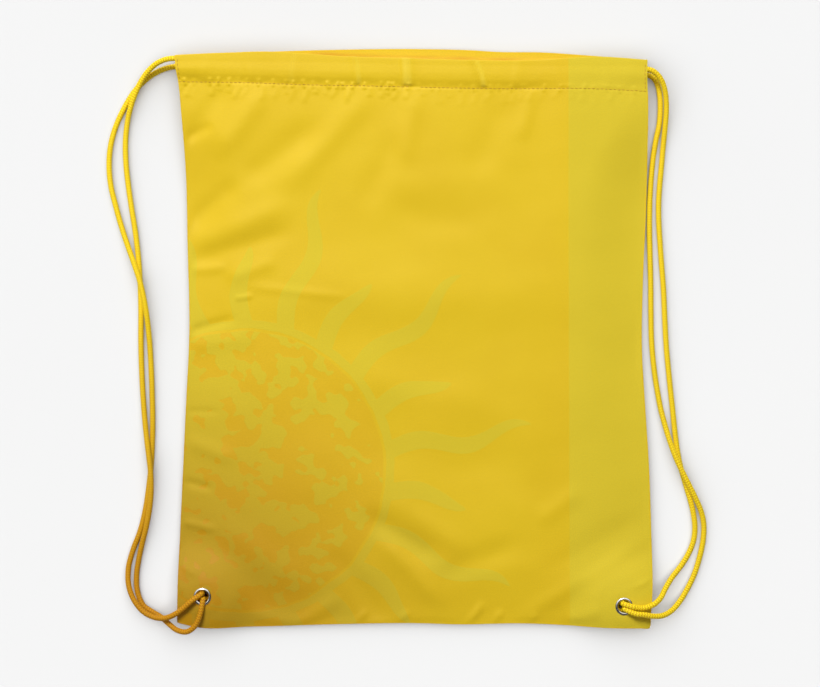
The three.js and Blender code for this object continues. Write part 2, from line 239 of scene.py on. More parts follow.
def braided_cord(name, points, step=BRAID_STEP, sides=BRAID_SIDES, sealed=False):
    """A braided cord along the points, with its strands raised. Gives the piece, its path and its length."""
    path, length = smooth_path(points, step)
    first, second = carried_frames(path)
    rings = len(path)
    theta = 2 * np.pi * np.arange(sides) / sides
    along = np.linspace(0, length, rings)[:, None]
    turn = theta[None, :]
    phase = 2 * np.pi * along / BRAID_LEAD
    one_way = np.cos(BRAID_STRANDS * (turn + phase))
    other_way = np.cos(BRAID_STRANDS * (turn - phase))
    over = np.cos(BRAID_STRANDS * turn) > 0
    rib = np.where(over, one_way, other_way)
    radius = CORD_RADIUS + 0.06 - BRAID_RELIEF * (1 - rib) / 2
    if sealed:
        into_tip = np.clip(along - length + TIP_LENGTH, 0, None) / (TIP_LENGTH + 0.1)
        radius = radius * np.sqrt(np.clip(1 - into_tip**2, 0.05, 1))
    ring = np.cos(turn)[..., None] * first[:, None, :] + np.sin(turn)[..., None] * second[:, None, :]
    vertices = path[:, None, :] + radius[..., None] * ring
    index = np.arange(rings * sides).reshape(rings, sides)
    after = np.roll(index, -1, axis=1)
    faces = np.stack([index[:-1], after[:-1], after[1:], index[1:]], axis=-1).reshape(-1, 4).tolist()
    faces.append(index[0, ::-1].tolist())
    faces.append(index[-1].tolist())
    piece = make_mesh(name, vertices.reshape(-1, 3), faces, CORD)
    float_attribute(piece, "rib", (rib + 1) / 2)
    place = np.stack(np.broadcast_arrays(along, turn * CORD_RADIUS, 0 * turn + 0 * along), axis=-1)
    vector_attribute(piece, "rest", place)
    return piece, path, length


# ---------------------------------------------------------------- materials

class Nodes:
    """A short way to write a material's nodes."""

    def __init__(self, name):
        self.material = bpy.data.materials.new(name)
        self.material.use_nodes = True
        self.tree = self.material.node_tree
        self.shader = self.tree.nodes["Principled BSDF"]

    def add(self, kind, inputs=(), **settings):
        node = self.tree.nodes.new(kind)
        for key, value in settings.items():
            setattr(node, key, value)
        for key, value in dict(inputs).items():
            self.feed(node.inputs[key], value)
        return node

    def feed(self, socket, value):
        if isinstance(value, bpy.types.NodeSocket):
            self.tree.links.new(value, socket)
        else:
            socket.default_value = value

    def maths(self, operation, a, b=0.0):
        return self.add("ShaderNodeMath", {0: a, 1: b}, operation=operation).outputs[0]

    def vector(self, operation, a, b=(0, 0, 0)):
        return self.add("ShaderNodeVectorMath", {0: a, 1: b}, operation=operation)

    def ramp(self, value, low, high, start=0.0, end=1.0):
        """Start below low, end above high, and smooth between."""
        inputs = {"Value": value, "From Min": low, "From Max": high, "To Min": start, "To Max": end}
        return self.add("ShaderNodeMapRange", inputs, interpolation_type="SMOOTHSTEP").outputs["Result"]

    def mix(self, share, a, b):
        node = self.add("ShaderNodeMix", {0: share}, data_type="RGBA")
        self.feed(node.inputs[6], a)
        self.feed(node.inputs[7], b)
        return node.outputs[2]

    def noise(self, vector, scale, detail=3.0, roughness=0.5):
        inputs = {"Vector": vector, "Scale": scale, "Detail": detail, "Roughness": roughness}
        return self.add("ShaderNodeTexNoise", inputs).outputs["Fac"]

    def attribute(self, name):
        return self.add("ShaderNodeAttribute", attribute_name=name)

    def bump(self, height, distance, strength=1.0, normal=None):
        inputs = {"Height": height, "Distance": distance, "Strength": strength}
        if normal is not None:
            inputs["Normal"] = normal
        return self.add("ShaderNodeBump", inputs).outputs["Normal"]

    def finish(self, colour, roughness, normal, specular=0.5, metallic=0.0):
        """Feeds the shader, and gives the material."""
        inputs = {"Base Color": colour, "Roughness": roughness, "Normal": normal,
                  "Specular IOR Level": specular, "Metallic": metallic}
        for key, value in inputs.items():
            self.feed(self.shader.inputs[key], value)
        return self.material


# Painted shade: the bag's lower left is coloured darker and warmer than the rest, standing in for the light
# falling off there.
SHADED_CORNER = (-0.190, -0.225, 0.0)
CLOTH_CORNER_SHADE = (0.64, 0.485, 0.36)
CLOTH_CORNER_SHADE_REACH = 0.27
CORD_CORNER_SHADE = (0.60, 0.37, 0.22)
CORD_CORNER_SHADE_REACH = 0.30


def corner_shaded(nodes, colour, tint, reach):
    """The colour, darkened and warmed towards the bag's lower left corner: painted shade."""
    place = nodes.add("ShaderNodeTexCoord").outputs["Object"]
    away = nodes.vector("LENGTH", nodes.vector("SUBTRACT", place, SHADED_CORNER).outputs[0]).outputs["Value"]
    factor = nodes.mix(nodes.ramp(away, 0.02, reach, 1.0, 0.0), (1, 1, 1, 1), (*tint, 1))
    return nodes.vector("MULTIPLY", colour, factor).outputs[0]


def weave_height(nodes, place, period):
    """Plain weave: warp and weft that pass over and under each other."""
    split = nodes.add("ShaderNodeSeparateXYZ", {"Vector": place})
    waves = []
    for axis in ("X", "Y"):
        angle = nodes.maths("MULTIPLY", split.outputs[axis], 2 * math.pi / period)
        waves.append(nodes.maths("SINE", angle))
    return nodes.maths("MULTIPLY", waves[0], waves[1])


# The print is a plain geometric sun and a band, in ink of nearly the cloth's own colour.
SUN_CENTRE = (-124.0, -96.0, 0.0)
SUN_RADIUS = 104.0
SUN_RAYS = 22
RAY_START = 111.0
RAY_END = 214.0
RAY_SHORTER = 48.0       # every second ray ends this much sooner
RAY_HALF_WIDTH = 6.8
RAY_WAVE = 0.03          # how far a ray sways, in radians about the sun's centre
RAY_WAVES = 0.085        # how fast it sways, in radians for each millimetre outwards
RING_WIDTH = 1.0         # the plain ring from which the rays start
MOTTLE_LEVEL = 0.47
MOTTLE_SLOPE = 0.0015    # ink gives way to plain cloth towards the right of the disc
PRINT_TOP = 176.0        # the sun stops under the hem
BAND_START = 112.4
BAND_SLANT = 0.0045
BAND_MARGIN = 3.0        # and this far from the band

CLOTH_COLOUR = (0.84, 0.575, 0.012, 1)
CLOTH_DARK = (0.80, 0.525, 0.010, 1)
CLOTH_SHADED = (0.68, 0.345, 0.005, 1)
# Painted highlight: the paler colour along the pleats, where they catch the light.
CLOTH_PLEAT_HIGHLIGHT = (0.93, 0.70, 0.055, 1)
INK_COLOUR = (0.775, 0.592, 0.026, 1)
DISC_COLOUR = (0.825, 0.53, 0.011, 1)
# Painted shade: the darker colour in the grooves between the braid's strands.
CORD_GROOVE_SHADE = (0.68, 0.34, 0.003, 1)
CORD_RIDGE = (1.0, 0.81, 0.014, 1)
CORD_FIBRE = (1.0, 0.76, 0.03, 1)
THREAD_COLOURS = (0.50, 0.26, 0.015, 1), (0.64, 0.38, 0.02, 1)
NICKEL_COLOURS = (0.68, 0.66, 0.63, 1), (0.56, 0.54, 0.50, 1)
FLOOR_COLOURS = (0.395, 0.395, 0.395, 1), (0.405, 0.405, 0.405, 1)
WEAVE = 0.46             # from one warp thread to the next but one


def ray_mask(nodes, radius, across_centre):
    """1 on the sun's rays, which taper, sway and are long and short by turns."""
    angle = nodes.maths("ARCTAN2", across_centre.outputs["Y"], across_centre.outputs["X"])
    sway = nodes.maths("SINE", nodes.maths("MULTIPLY", radius, RAY_WAVES))
    angle = nodes.maths("ADD", angle, nodes.maths("MULTIPLY", sway, RAY_WAVE))
    turns = nodes.maths("MULTIPLY", angle, SUN_RAYS / (2 * math.pi))
    off_axis = nodes.maths("ABSOLUTE", nodes.maths("SUBTRACT", nodes.maths("FRACT", turns), 0.5))
    off_axis = nodes.maths("MULTIPLY", nodes.maths("MULTIPLY", off_axis, 2 * math.pi / SUN_RAYS), radius)
    odd = nodes.maths("MODULO", nodes.maths("ABSOLUTE", nodes.maths("FLOOR", turns)), 2.0)
    reach = nodes.maths("ADD", RAY_END - RAY_START, nodes.maths("MULTIPLY", odd, -RAY_SHORTER))
    out = nodes.maths("DIVIDE", nodes.maths("SUBTRACT", radius, RAY_START), reach)
    full = nodes.maths("SUBTRACT", 1.0, nodes.maths("POWER", nodes.maths("MAXIMUM", out, 0.0), 3.0))
    taper = nodes.maths("POWER", nodes.maths("MAXIMUM", full, 0.0), 0.6)
    half = nodes.maths("MULTIPLY", taper, RAY_HALF_WIDTH)
    ray = nodes.ramp(nodes.maths("SUBTRACT", half, off_axis), -0.15, 0.25)
    return nodes.maths("MULTIPLY", ray, nodes.ramp(radius, RAY_START - 0.2, RAY_START + 0.2))


def mottle_mask(nodes, place, across_centre):
    """1 in the blotches of ink on the sun's disc."""
    blotch = nodes.noise(place, 0.05, 1.0, 0.45)
    spots = nodes.maths("SUBTRACT", nodes.noise(place, 0.14, 0.5, 0.4), 0.5)
    blotch = nodes.maths("ADD", blotch, nodes.maths("MULTIPLY", spots, 0.6))
    slope = nodes.maths("MULTIPLY", across_centre.outputs["X"], MOTTLE_SLOPE)
    level = nodes.maths("ADD", MOTTLE_LEVEL, slope)
    return nodes.ramp(nodes.maths("SUBTRACT", blotch, level), -0.006, 0.006)


def print_mask(nodes, place):
    """Two masks: the ink, which is the band, the sun's rays and most of its disc, and the whole disc."""
    split = nodes.add("ShaderNodeSeparateXYZ", {"Vector": place})
    x, y = split.outputs["X"], split.outputs["Y"]
    x = nodes.maths("ADD", x, nodes.maths("MULTIPLY", y, BAND_SLANT))
    band = nodes.ramp(x, BAND_START - 0.2, BAND_START + 0.2)
    from_centre = nodes.vector("SUBTRACT", place, SUN_CENTRE).outputs[0]
    wobble = nodes.maths("MULTIPLY", nodes.noise(place, 0.035, 2.0), 5.0)
    radius = nodes.maths("ADD", nodes.vector("LENGTH", from_centre).outputs["Value"], wobble)
    across_centre = nodes.add("ShaderNodeSeparateXYZ", {"Vector": from_centre})
    inside = nodes.ramp(radius, SUN_RADIUS + 0.2, SUN_RADIUS - 0.2)
    disc = nodes.maths("MULTIPLY", inside, mottle_mask(nodes, place, across_centre))
    ring = nodes.maths("MULTIPLY", nodes.ramp(radius, SUN_RADIUS + 1.8, SUN_RADIUS + 2.2),
                       nodes.ramp(radius, RAY_START + RING_WIDTH + 0.2, RAY_START + RING_WIDTH - 0.2))
    sun = nodes.maths("MAXIMUM", nodes.maths("MAXIMUM", ray_mask(nodes, radius, across_centre), disc), ring)
    below_hem = nodes.ramp(y, PRINT_TOP, PRINT_TOP - 1.0)
    left_of_band = nodes.ramp(x, BAND_START - BAND_MARGIN, BAND_START - BAND_MARGIN - 0.4)
    sun = nodes.maths("MULTIPLY", nodes.maths("MULTIPLY", sun, below_hem), left_of_band)
    return nodes.maths("MAXIMUM", band, sun), inside


def cloth_material(name, printed):
    """Woven nylon. The printed one has a painted highlight along the pleats in its casing, the plain one a
    shaded line in the mouth.
    """
    nodes = Nodes(name)
    place = nodes.attribute("rest").outputs["Vector"]
    cloud = nodes.noise(place, 0.012, 3.0)
    grain = nodes.noise(place, 1.3, 2.0, 0.6)
    colour = nodes.mix(nodes.ramp(cloud, 0.35, 0.7, 0.0, 0.5), CLOTH_COLOUR, CLOTH_DARK)
    rough = nodes.ramp(grain, 0.3, 0.7, 0.46, 0.54)
    if printed:
        ink, disc = print_mask(nodes, place)
        colour = nodes.mix(disc, colour, DISC_COLOUR)
        worn = nodes.ramp(nodes.noise(place, 0.6, 3.0, 0.6), 0.28, 0.5, 0.82, 1.0)
        colour = nodes.mix(nodes.maths("MULTIPLY", ink, worn), colour, INK_COLOUR)
        rough = nodes.maths("ADD", rough, nodes.maths("MULTIPLY", ink, 0.16))
        # Painted highlight along the pleats of the casing, where they catch the light.
        colour = nodes.mix(nodes.attribute("pleat_highlight").outputs["Fac"], colour, CLOTH_PLEAT_HIGHLIGHT)
    else:
        colour = nodes.mix(nodes.attribute("shade").outputs["Fac"], colour, CLOTH_SHADED)
    # Painted shade: the cloth darker and warmer towards the bag's lower left corner.
    colour = nodes.vector("SCALE", corner_shaded(nodes, colour, CLOTH_CORNER_SHADE, CLOTH_CORNER_SHADE_REACH)).outputs[0]
    nodes.feed(colour.node.inputs["Scale"], nodes.ramp(grain, 0.3, 0.75, 0.94, 1.06))
    normal = nodes.bump(nodes.noise(place, 0.06, 3.0, 0.5), 0.0016, 0.09)
    normal = nodes.bump(weave_height(nodes, place, WEAVE), 0.00004, 0.5, normal)
    if printed:
        normal = nodes.bump(ink, 0.00006, 0.5, normal)
    return nodes.finish(colour, rough, normal, specular=0.22)


def cord_material():
    nodes = Nodes("braided_cord")
    rib = nodes.attribute("rib").outputs["Fac"]
    place = nodes.attribute("rest").outputs["Vector"]
    fibres = nodes.noise(nodes.vector("MULTIPLY", place, (5.0, 1.6, 1.0)).outputs[0], 1.0, 2.0)
    # Painted shade in the braid's grooves; the ridges keep the cord's own colour.
    colour = nodes.mix(nodes.ramp(rib, 0.15, 0.75), CORD_GROOVE_SHADE, CORD_RIDGE)
    colour = nodes.mix(nodes.ramp(fibres, 0.35, 0.7, 0.0, 0.15), colour, CORD_FIBRE)
    # Painted shade: the cord darker and warmer towards the bag's lower left corner.
    colour = corner_shaded(nodes, colour, CORD_CORNER_SHADE, CORD_CORNER_SHADE_REACH)
    return nodes.finish(colour, 0.6, nodes.bump(fibres, 0.00012, 0.6), specular=0.2)


def thread_material():
    nodes = Nodes("sewing_thread")
    place = nodes.add("ShaderNodeTexCoord").outputs["Object"]
    twist = nodes.noise(place, 5200.0, 1.0)
    colour = nodes.mix(nodes.ramp(twist, 0.35, 0.65), *THREAD_COLOURS)
    return nodes.finish(colour, 0.6, nodes.bump(twist, 0.00005, 0.5))


def nickel_material():
    nodes = Nodes("polished_nickel")
    place = nodes.add("ShaderNodeTexCoord").outputs["Object"]
    smudge = nodes.noise(place, 420.0, 3.0)
    colour = nodes.mix(nodes.ramp(smudge, 0.4, 0.7), *NICKEL_COLOURS)
    rough = nodes.ramp(smudge, 0.35, 0.75, 0.12, 0.26)
    return nodes.finish(colour, rough, nodes.bump(smudge, 0.00008, 0.25), metallic=1.0)


def floor_material():
    nodes = Nodes("pale_floor")
    place = nodes.add("ShaderNodeTexCoord").outputs["Object"]
    colour = nodes.mix(nodes.noise(place, 3.0, 2.0), *FLOOR_COLOURS)
    nodes.feed(nodes.shader.inputs["Base Color"], colour)
    nodes.feed(nodes.shader.inputs["Roughness"], 0.9)
    nodes.feed(nodes.shader.inputs["Specular IOR Level"], 0.1)
    return nodes.material


PRINTED_CLOTH = cloth_material("printed_cloth", printed=True)
PLAIN_CLOTH = cloth_material("plain_cloth", printed=False)
CORD = cord_material()
THREAD = thread_material()
NICKEL = nickel_material()


# ---------------------------------------------------------------- camera, floor and light

LENS = 85
SENSOR = 36
SEEN_WIDTH = 0.596             # what the camera sees across the picture, at the bag's own height
BAG_LEVEL = 0.008
SEEN_CENTRE = (-0.0031, -0.0036)
FLOOR_HALF = 3.0
KEY = {"place": (-0.42, 1.50, 1.95), "size": 1.0, "watts": 57.5}
CORD_FILL = {"place": (-0.8, 0.1, 1.6), "size": 1.6, "watts": 6.0}
FLOOR_SUN_TOWARDS = (-0.36, 0.34, 1)
FLOOR_SUN_ENERGY = 7.2
FLOOR_SUN_ANGLE = math.radians(125)
ROOM_LEVEL = 0.24
# Metal sees one broad bright wall, above and behind the bag's top, in a dark room.
WALL_TOWARDS = Vector((-0.15, 0.75, 0.65)).normalized()
WALL_LEVEL = 1.3
WALL_STEPS = ((0.0, 0.03), (0.50, 0.03), (0.66, 0.5), (0.74, 1.0), (0.93, 1.0), (0.98, 0.35))


def placed(thing):
    bpy.context.scene.collection.objects.link(thing)
    return thing


def make_camera():
    """A camera that looks straight down at the bag."""
    data = bpy.data.cameras.new("camera")
    data.lens = LENS
    data.sensor_width = SENSOR
    camera = placed(bpy.data.objects.new("camera", data))
    camera.location = (*SEEN_CENTRE, SEEN_WIDTH * LENS / SENSOR + BAG_LEVEL)
    bpy.context.scene.camera = camera


def disk_light(name, place, size, watts):
    """A round soft light that faces the bag."""
    data = bpy.data.lights.new(name, "AREA")
    data.shape = "DISK"
    data.size = size
    data.energy = watts
    light = placed(bpy.data.objects.new(name, data))
    light.location = place
    light.rotation_euler = (-Vector(place)).to_track_quat("-Z", "Y").to_euler()
    return light


def sun_light(name, towards, energy, angle):
    data = bpy.data.lights.new(name, "SUN")
    data.energy = energy
    data.angle = angle
    light = placed(bpy.data.objects.new(name, data))
    light.rotation_euler = Vector(towards).to_track_quat("Z", "Y").to_euler()
    return light


def linked(light, things, state):
    """Has a light fall on only these things, or on everything but them."""
    receivers = bpy.data.collections.new(f"{light.name}_falls_on")
    for thing in things:
        receivers.objects.link(thing)
    for receiver in receivers.collection_objects:
        receiver.light_linking.link_state = state
    light.light_linking.receiver_collection = receivers


def make_floor():
    corners = [(x * FLOOR_HALF, y * FLOOR_HALF, 0) for x, y in ((-1, -1), (1, -1), (1, 1), (-1, 1))]
    mesh = bpy.data.meshes.new("floor")
    mesh.from_pydata(corners, [], [(0, 1, 2, 3)])
    mesh.materials.append(floor_material())
    floor = placed(bpy.data.objects.new("floor", mesh))
    return floor


def make_room():
    """An even room, in which shiny things see a bright wall."""
    world = bpy.data.worlds.new("studio")
    world.use_nodes = True
    tree = world.node_tree
    room = tree.nodes["Background"]
    room.inputs["Color"].default_value = (1, 1, 1, 1)
    room.inputs["Strength"].default_value = ROOM_LEVEL
    direction = tree.nodes.new("ShaderNodeTexCoord").outputs["Generated"]
    facing = tree.nodes.new("ShaderNodeVectorMath")
    facing.operation = "DOT_PRODUCT"
    facing.inputs[1].default_value = WALL_TOWARDS
    tree.links.new(direction, facing.inputs[0])
    ramp = tree.nodes.new("ShaderNodeValToRGB")
    while len(ramp.color_ramp.elements) < len(WALL_STEPS):
        ramp.color_ramp.elements.new(0.5)
    for element, (spot, level) in zip(ramp.color_ramp.elements, WALL_STEPS):
        element.position = spot
        element.color = (level, level, level, 1)
    tree.links.new(facing.outputs["Value"], ramp.inputs[0])
    wall = tree.nodes.new("ShaderNodeBackground")
    wall.inputs["Strength"].default_value = WALL_LEVEL
    tree.links.new(ramp.outputs[0], wall.inputs["Color"])
    mix = tree.nodes.new("ShaderNodeMixShader")
    glossy = tree.nodes.new("ShaderNodeLightPath").outputs["Is Glossy Ray"]
    sources = (glossy, room.outputs[0], wall.outputs[0])
    for socket, source in zip(mix.inputs, sources):
        tree.links.new(source, socket)
    tree.links.new(mix.outputs[0], tree.nodes["World Output"].inputs["Surface"])
    bpy.context.scene.world = world
    bpy.context.scene.view_settings.view_transform = "Standard"


make_camera()
floor = make_floor()
linked(disk_light("key", **KEY), [floor], "EXCLUDE")
over_the_floor = sun_light("over_the_floor", FLOOR_SUN_TOWARDS, FLOOR_SUN_ENERGY, FLOOR_SUN_ANGLE)
linked(over_the_floor, [floor], "INCLUDE")
make_room()


# ---------------------------------------------------------------- cords

# The routes of the four strands outside the bag, as in the CAD, from the casing's end to the eyelet. Metres.
STRAND_ROUTES = {
    "left_front": [
        (-0.1642, 0.2025, 0.0141), (-0.169, 0.2026, 0.0141), (-0.1738, 0.2029, 0.0139),
        (-0.1796, 0.2025, 0.0128), (-0.1867, 0.2, 0.0106), (-0.1935, 0.1945, 0.0084),
        (-0.1991, 0.1867, 0.007), (-0.2032, 0.178, 0.0063), (-0.2065, 0.1692, 0.0048),
        (-0.2092, 0.159, 0.0028), (-0.2109, 0.1451, 0.002), (-0.2106, 0.1286, 0.002),
        (-0.2089, 0.113, 0.002), (-0.2064, 0.0954, 0.002), (-0.2034, 0.0773, 0.002),
        (-0.2012, 0.0583, 0.002), (-0.2, 0.0402, 0.002), (-0.1994, 0.0221, 0.002), (-0.1996, -0.002, 0.002),
        (-0.1988, -0.0281, 0.002), (-0.1971, -0.0542, 0.0022), (-0.1953, -0.0702, 0.004),
        (-0.1935, -0.0831, 0.0061), (-0.1917, -0.0971, 0.0067), (-0.1914, -0.1111, 0.0065),
        (-0.1925, -0.1232, 0.0061), (-0.195, -0.1368, 0.0052), (-0.1982, -0.1484, 0.0036),
        (-0.201, -0.1606, 0.0025), (-0.2029, -0.1727, 0.002), (-0.2024, -0.1848, 0.002),
        (-0.1982, -0.1952, 0.0021), (-0.1909, -0.1995, 0.0026), (-0.1839, -0.2032, 0.0039),
        (-0.1783, -0.2078, 0.0068), (-0.1719, -0.212, 0.0106), (-0.1644, -0.2128, 0.0133),
        (-0.1583, -0.2082, 0.0148), (-0.155, -0.1999, 0.0158), (-0.1525, -0.1915, 0.0166),
    ],
    "left_back": [
        (-0.1642, 0.199, 0.0029), (-0.169, 0.1989, 0.0029), (-0.1742, 0.1986, 0.0029),
        (-0.1819, 0.1971, 0.0026), (-0.1898, 0.1936, 0.0021), (-0.1978, 0.1876, 0.002),
        (-0.2047, 0.18, 0.002), (-0.2103, 0.1709, 0.002), (-0.2155, 0.1607, 0.002),
        (-0.2195, 0.1502, 0.002), (-0.2221, 0.1386, 0.002), (-0.2229, 0.1265, 0.002),
        (-0.2217, 0.1115, 0.002), (-0.2183, 0.0982, 0.002), (-0.2141, 0.0828, 0.0022),
        (-0.209, 0.0678, 0.0034), (-0.2039, 0.0545, 0.0057), (-0.1998, 0.0424, 0.0067),
        (-0.197, 0.0308, 0.0066), (-0.1949, 0.018, 0.0056), (-0.1935, 0.004, 0.0036),
        (-0.1925, -0.011, 0.0022), (-0.1913, -0.0381, 0.002), (-0.1908, -0.0663, 0.002),
        (-0.1918, -0.0914, 0.002), (-0.1942, -0.1125, 0.002), (-0.1964, -0.1265, 0.002),
        (-0.2, -0.141, 0.002), (-0.2054, -0.1542, 0.0021), (-0.2089, -0.1676, 0.0026),
        (-0.2084, -0.18, 0.0044), (-0.2042, -0.1906, 0.0062), (-0.1971, -0.1991, 0.0071),
        (-0.1886, -0.203, 0.0082), (-0.1801, -0.203, 0.0108), (-0.1733, -0.1998, 0.0136),
        (-0.1666, -0.1948, 0.0152), (-0.1605, -0.1893, 0.0161), (-0.1556, -0.1853, 0.0168),
    ],
    "right_front": [
        (0.1642, 0.195, 0.0141), (0.168, 0.195, 0.0141), (0.1724, 0.1941, 0.0139), (0.1766, 0.1909, 0.0129),
        (0.1798, 0.1864, 0.0115), (0.182, 0.1804, 0.0098), (0.1832, 0.173, 0.008), (0.1834, 0.1636, 0.0063),
        (0.1827, 0.1528, 0.0046), (0.1817, 0.1412, 0.0025), (0.1805, 0.1265, 0.002), (0.1792, 0.113, 0.002),
        (0.1783, 0.099, 0.002), (0.1784, 0.085, 0.002), (0.1793, 0.071, 0.002), (0.1804, 0.0552, 0.002),
        (0.182, 0.0362, 0.002), (0.1828, 0.0151, 0.002), (0.1839, -0.006, 0.002), (0.1862, -0.0301, 0.002),
        (0.1886, -0.0522, 0.002), (0.1908, -0.0733, 0.002), (0.1932, -0.089, 0.002),
        (0.1954, -0.0974, 0.002), (0.198, -0.1064, 0.002), (0.2013, -0.117, 0.002),
        (0.2039, -0.1279, 0.002), (0.2051, -0.1381, 0.002), (0.2041, -0.1476, 0.002),
        (0.2003, -0.1571, 0.002), (0.1946, -0.1661, 0.0026), (0.1876, -0.1742, 0.0044),
        (0.1826, -0.1816, 0.0074), (0.1792, -0.1876, 0.0114), (0.1744, -0.192, 0.0144),
        (0.1684, -0.1946, 0.015), (0.1626, -0.195, 0.0152), (0.1574, -0.1938, 0.0162),
        (0.1528, -0.1919, 0.0169),
    ],
    "right_back": [
        (0.1642, 0.192, 0.0029), (0.1675, 0.1924, 0.0029), (0.1713, 0.1922, 0.0028), (0.1749, 0.19, 0.0025),
        (0.1776, 0.1856, 0.0021), (0.1792, 0.1786, 0.002), (0.1797, 0.167, 0.002), (0.1789, 0.1554, 0.002),
        (0.1765, 0.1456, 0.002), (0.1744, 0.1326, 0.002), (0.1729, 0.1175, 0.002), (0.1718, 0.0994, 0.002),
        (0.1716, 0.0794, 0.002), (0.1721, 0.0603, 0.002), (0.1726, 0.0402, 0.002), (0.1727, 0.0201, 0.002),
        (0.1731, -0.003, 0.002), (0.175, -0.0226, 0.002), (0.1772, -0.0371, 0.002),
        (0.1797, -0.0512, 0.0022), (0.1832, -0.0646, 0.0034), (0.1867, -0.0767, 0.0054),
        (0.1905, -0.0871, 0.0066), (0.1946, -0.0961, 0.0067), (0.1992, -0.1051, 0.0065),
        (0.2046, -0.1156, 0.0052), (0.2093, -0.1258, 0.0032), (0.2115, -0.1351, 0.0021),
        (0.2111, -0.1466, 0.002), (0.2087, -0.1583, 0.002), (0.2049, -0.1713, 0.002),
        (0.1992, -0.183, 0.0024), (0.193, -0.1926, 0.004), (0.1866, -0.1986, 0.0076),
        (0.1796, -0.2012, 0.012), (0.1724, -0.201, 0.0148), (0.166, -0.1995, 0.0164),
        (0.16, -0.1989, 0.0165), (0.1546, -0.1976, 0.0168),
    ],
}
TWIN_OFFSET = np.array([0.6, -1.95])     # from an eyelet's middle to where its front strand goes down
SIGN = {"left": -1, "right": 1}


def stands_for(piece, slot, *nodes):
    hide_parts(*nodes)


def blend_with_front(piece):
    """Bakes the piece's placement into its mesh."""
    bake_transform(piece)


def into_eyelet(side, face):
    """The last points of a strand, where it bends down through the eyelet beside its twin."""
    turned = (1 if face == "front" else -1) * -SIGN[side]
    x, y = EYELETS[side] + turned * TWIN_OFFSET
    return [(x, y, EYELET_TOP - 0.2), (x, y, EYELET_LOW + 0.3)]


# How a cord lies inside its casing: its place across the casing, from the left end to the right.
RUN_LINES = {
    ("left", "front"): through([(-172, 202.5), (-50, 201.6), (40, 199.5), (100, 199.3), (164.5, 199.2)]),
    ("left", "back"): through([(-172, 199), (-50, 199), (60, 198.2), (164.5, 197.4)]),
    ("right", "front"): through([(-164.5, 198.2), (-100, 197.8), (0, 195.6), (80, 194.9), (172, 195)]),
    ("right", "back"): through([(-164.5, 194.4), (-100, 194), (0, 192), (172, 192)]),
}
STRAND_HIDDEN = 150.0     # a strand begins this far from the middle, inside its casing
RUN_END = 164.3
RUN_OVERLAP = 0.3         # a run begins this far inside its strand
RUN_DROP = 1.0            # how far the front casing's cords settle between the ends
RUN_SETTLES = 18.0        # over this distance from each end
BIGHT_START = 161.2
BIGHT_REACH = 5.2
# The turn's shape: shares of its reach, and of the way from the front run to the back one.
BIGHT_SHAPE = ((0.5, 0.06), (0.88, 0.26), (1, 0.5), (0.88, 0.74), (0.5, 0.94))


def run_points(side, face, start, end, step=12.0):
    """Points of a cord inside its casing, between two places across the bag."""
    places = np.linspace(start, end, max(int(abs(end - start) / step), 2) + 1)
    settled = (RUN_DROP if face == "front" else 0) * smooth((RUN_END - np.abs(places)) / RUN_SETTLES)
    heights = RUNS[side, face][2] - settled
    line = RUN_LINES[side, face]
    return [(x, float(line(np.array(x))), z) for x, z in zip(places, heights)]


def knot_points(side, face):
    """A strand's last turns, in the knot under its eyelet, and its tail."""
    turns = {
        "front": [(0.6, -1.9, 9.4), (0.8, -2.2, 7.9), (3.2, -2.6, 6.7), (4.9, 0.6, 6.3), (2.2, 4.2, 6.3),
                  (-2.6, 4.2, 6.2), (-5.0, 0.6, 5.4), (-3.8, -3.6, 3.6), (0.6, -5.6, 2.4), (6.6, -6.2, 2.3)],
        "back": [(-0.6, 1.9, 9.4), (-0.7, 1.5, 7.4), (-0.2, -0.2, 5.0), (1.6, -1.4, 2.9), (4.6, 0.4, 2.3),
                 (4.2, 4.2, 2.3), (0.2, 6.0, 2.3), (-4.0, 4.4, 2.3), (-7.4, 2.2, 2.3), (-10.6, 0.4, 2.3)],
    }
    turned = -SIGN[side]
    centre = EYELETS[side]
    return [(centre[0] + turned * x, centre[1] + turned * y, z) for x, y, z in turns[face]]


def relaxed(route):
    """The route in millimetres, with each point drawn a little towards the middle of its neighbours."""
    route = np.array(route, float) / MM
    route[1:-1] = 0.8 * route[1:-1] + 0.1 * (route[:-2] + route[2:])
    return [tuple(point) for point in route]


def make_knot(side, face):
    """One strand's end, in the knot under its eyelet."""
    knot, _, _ = braided_cord(f"{side}_knot_{face}_end", knot_points(side, face), sealed=True)
    stands_for(knot, "cord", f"{side}_knot")
    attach(knot, "back")
    return knot


def make_strand(side, face):
    """A strand outside the bag, with the short stretch of it that is hidden in the casing's end."""
    name = f"{side}_cord_{face}_strand"
    hidden = run_points(side, face, SIGN[side] * STRAND_HIDDEN, SIGN[side] * (RUN_END - 4), 5.0)
    route = hidden + relaxed(STRAND_ROUTES[f"{side}_{face}"][:-1]) + into_eyelet(side, face)
    piece, path, length = braided_cord(f"{name}_braid", route)
    stands_for(piece, "cord", name)
    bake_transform(piece)
    return piece


def make_run(side, face):
    """The cord inside a casing, to the far end. The front one is in two halves, as the front cloth is."""
    node = f"{side}_cord_{face}_run"
    start, end = SIGN[side] * (STRAND_HIDDEN - RUN_OVERLAP), -SIGN[side] * BIGHT_START
    other = "right" if side == "left" else "left"
    if face == "back":
        stretches = [("braid", start, end, None)]
    else:
        stretches = [("near", start, 0, side), ("far", 0, end, other)]
    for word, first, last, half in stretches:
        points = run_points(side, face, first, last)
        piece, _, _ = braided_cord(f"{node}_{word}", points, HIDDEN_STEP, HIDDEN_SIDES)
        stands_for(piece, "cord", node)
        if half:
            blend_with_front(piece)
        else:
            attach(piece, f"{side}_back_run")


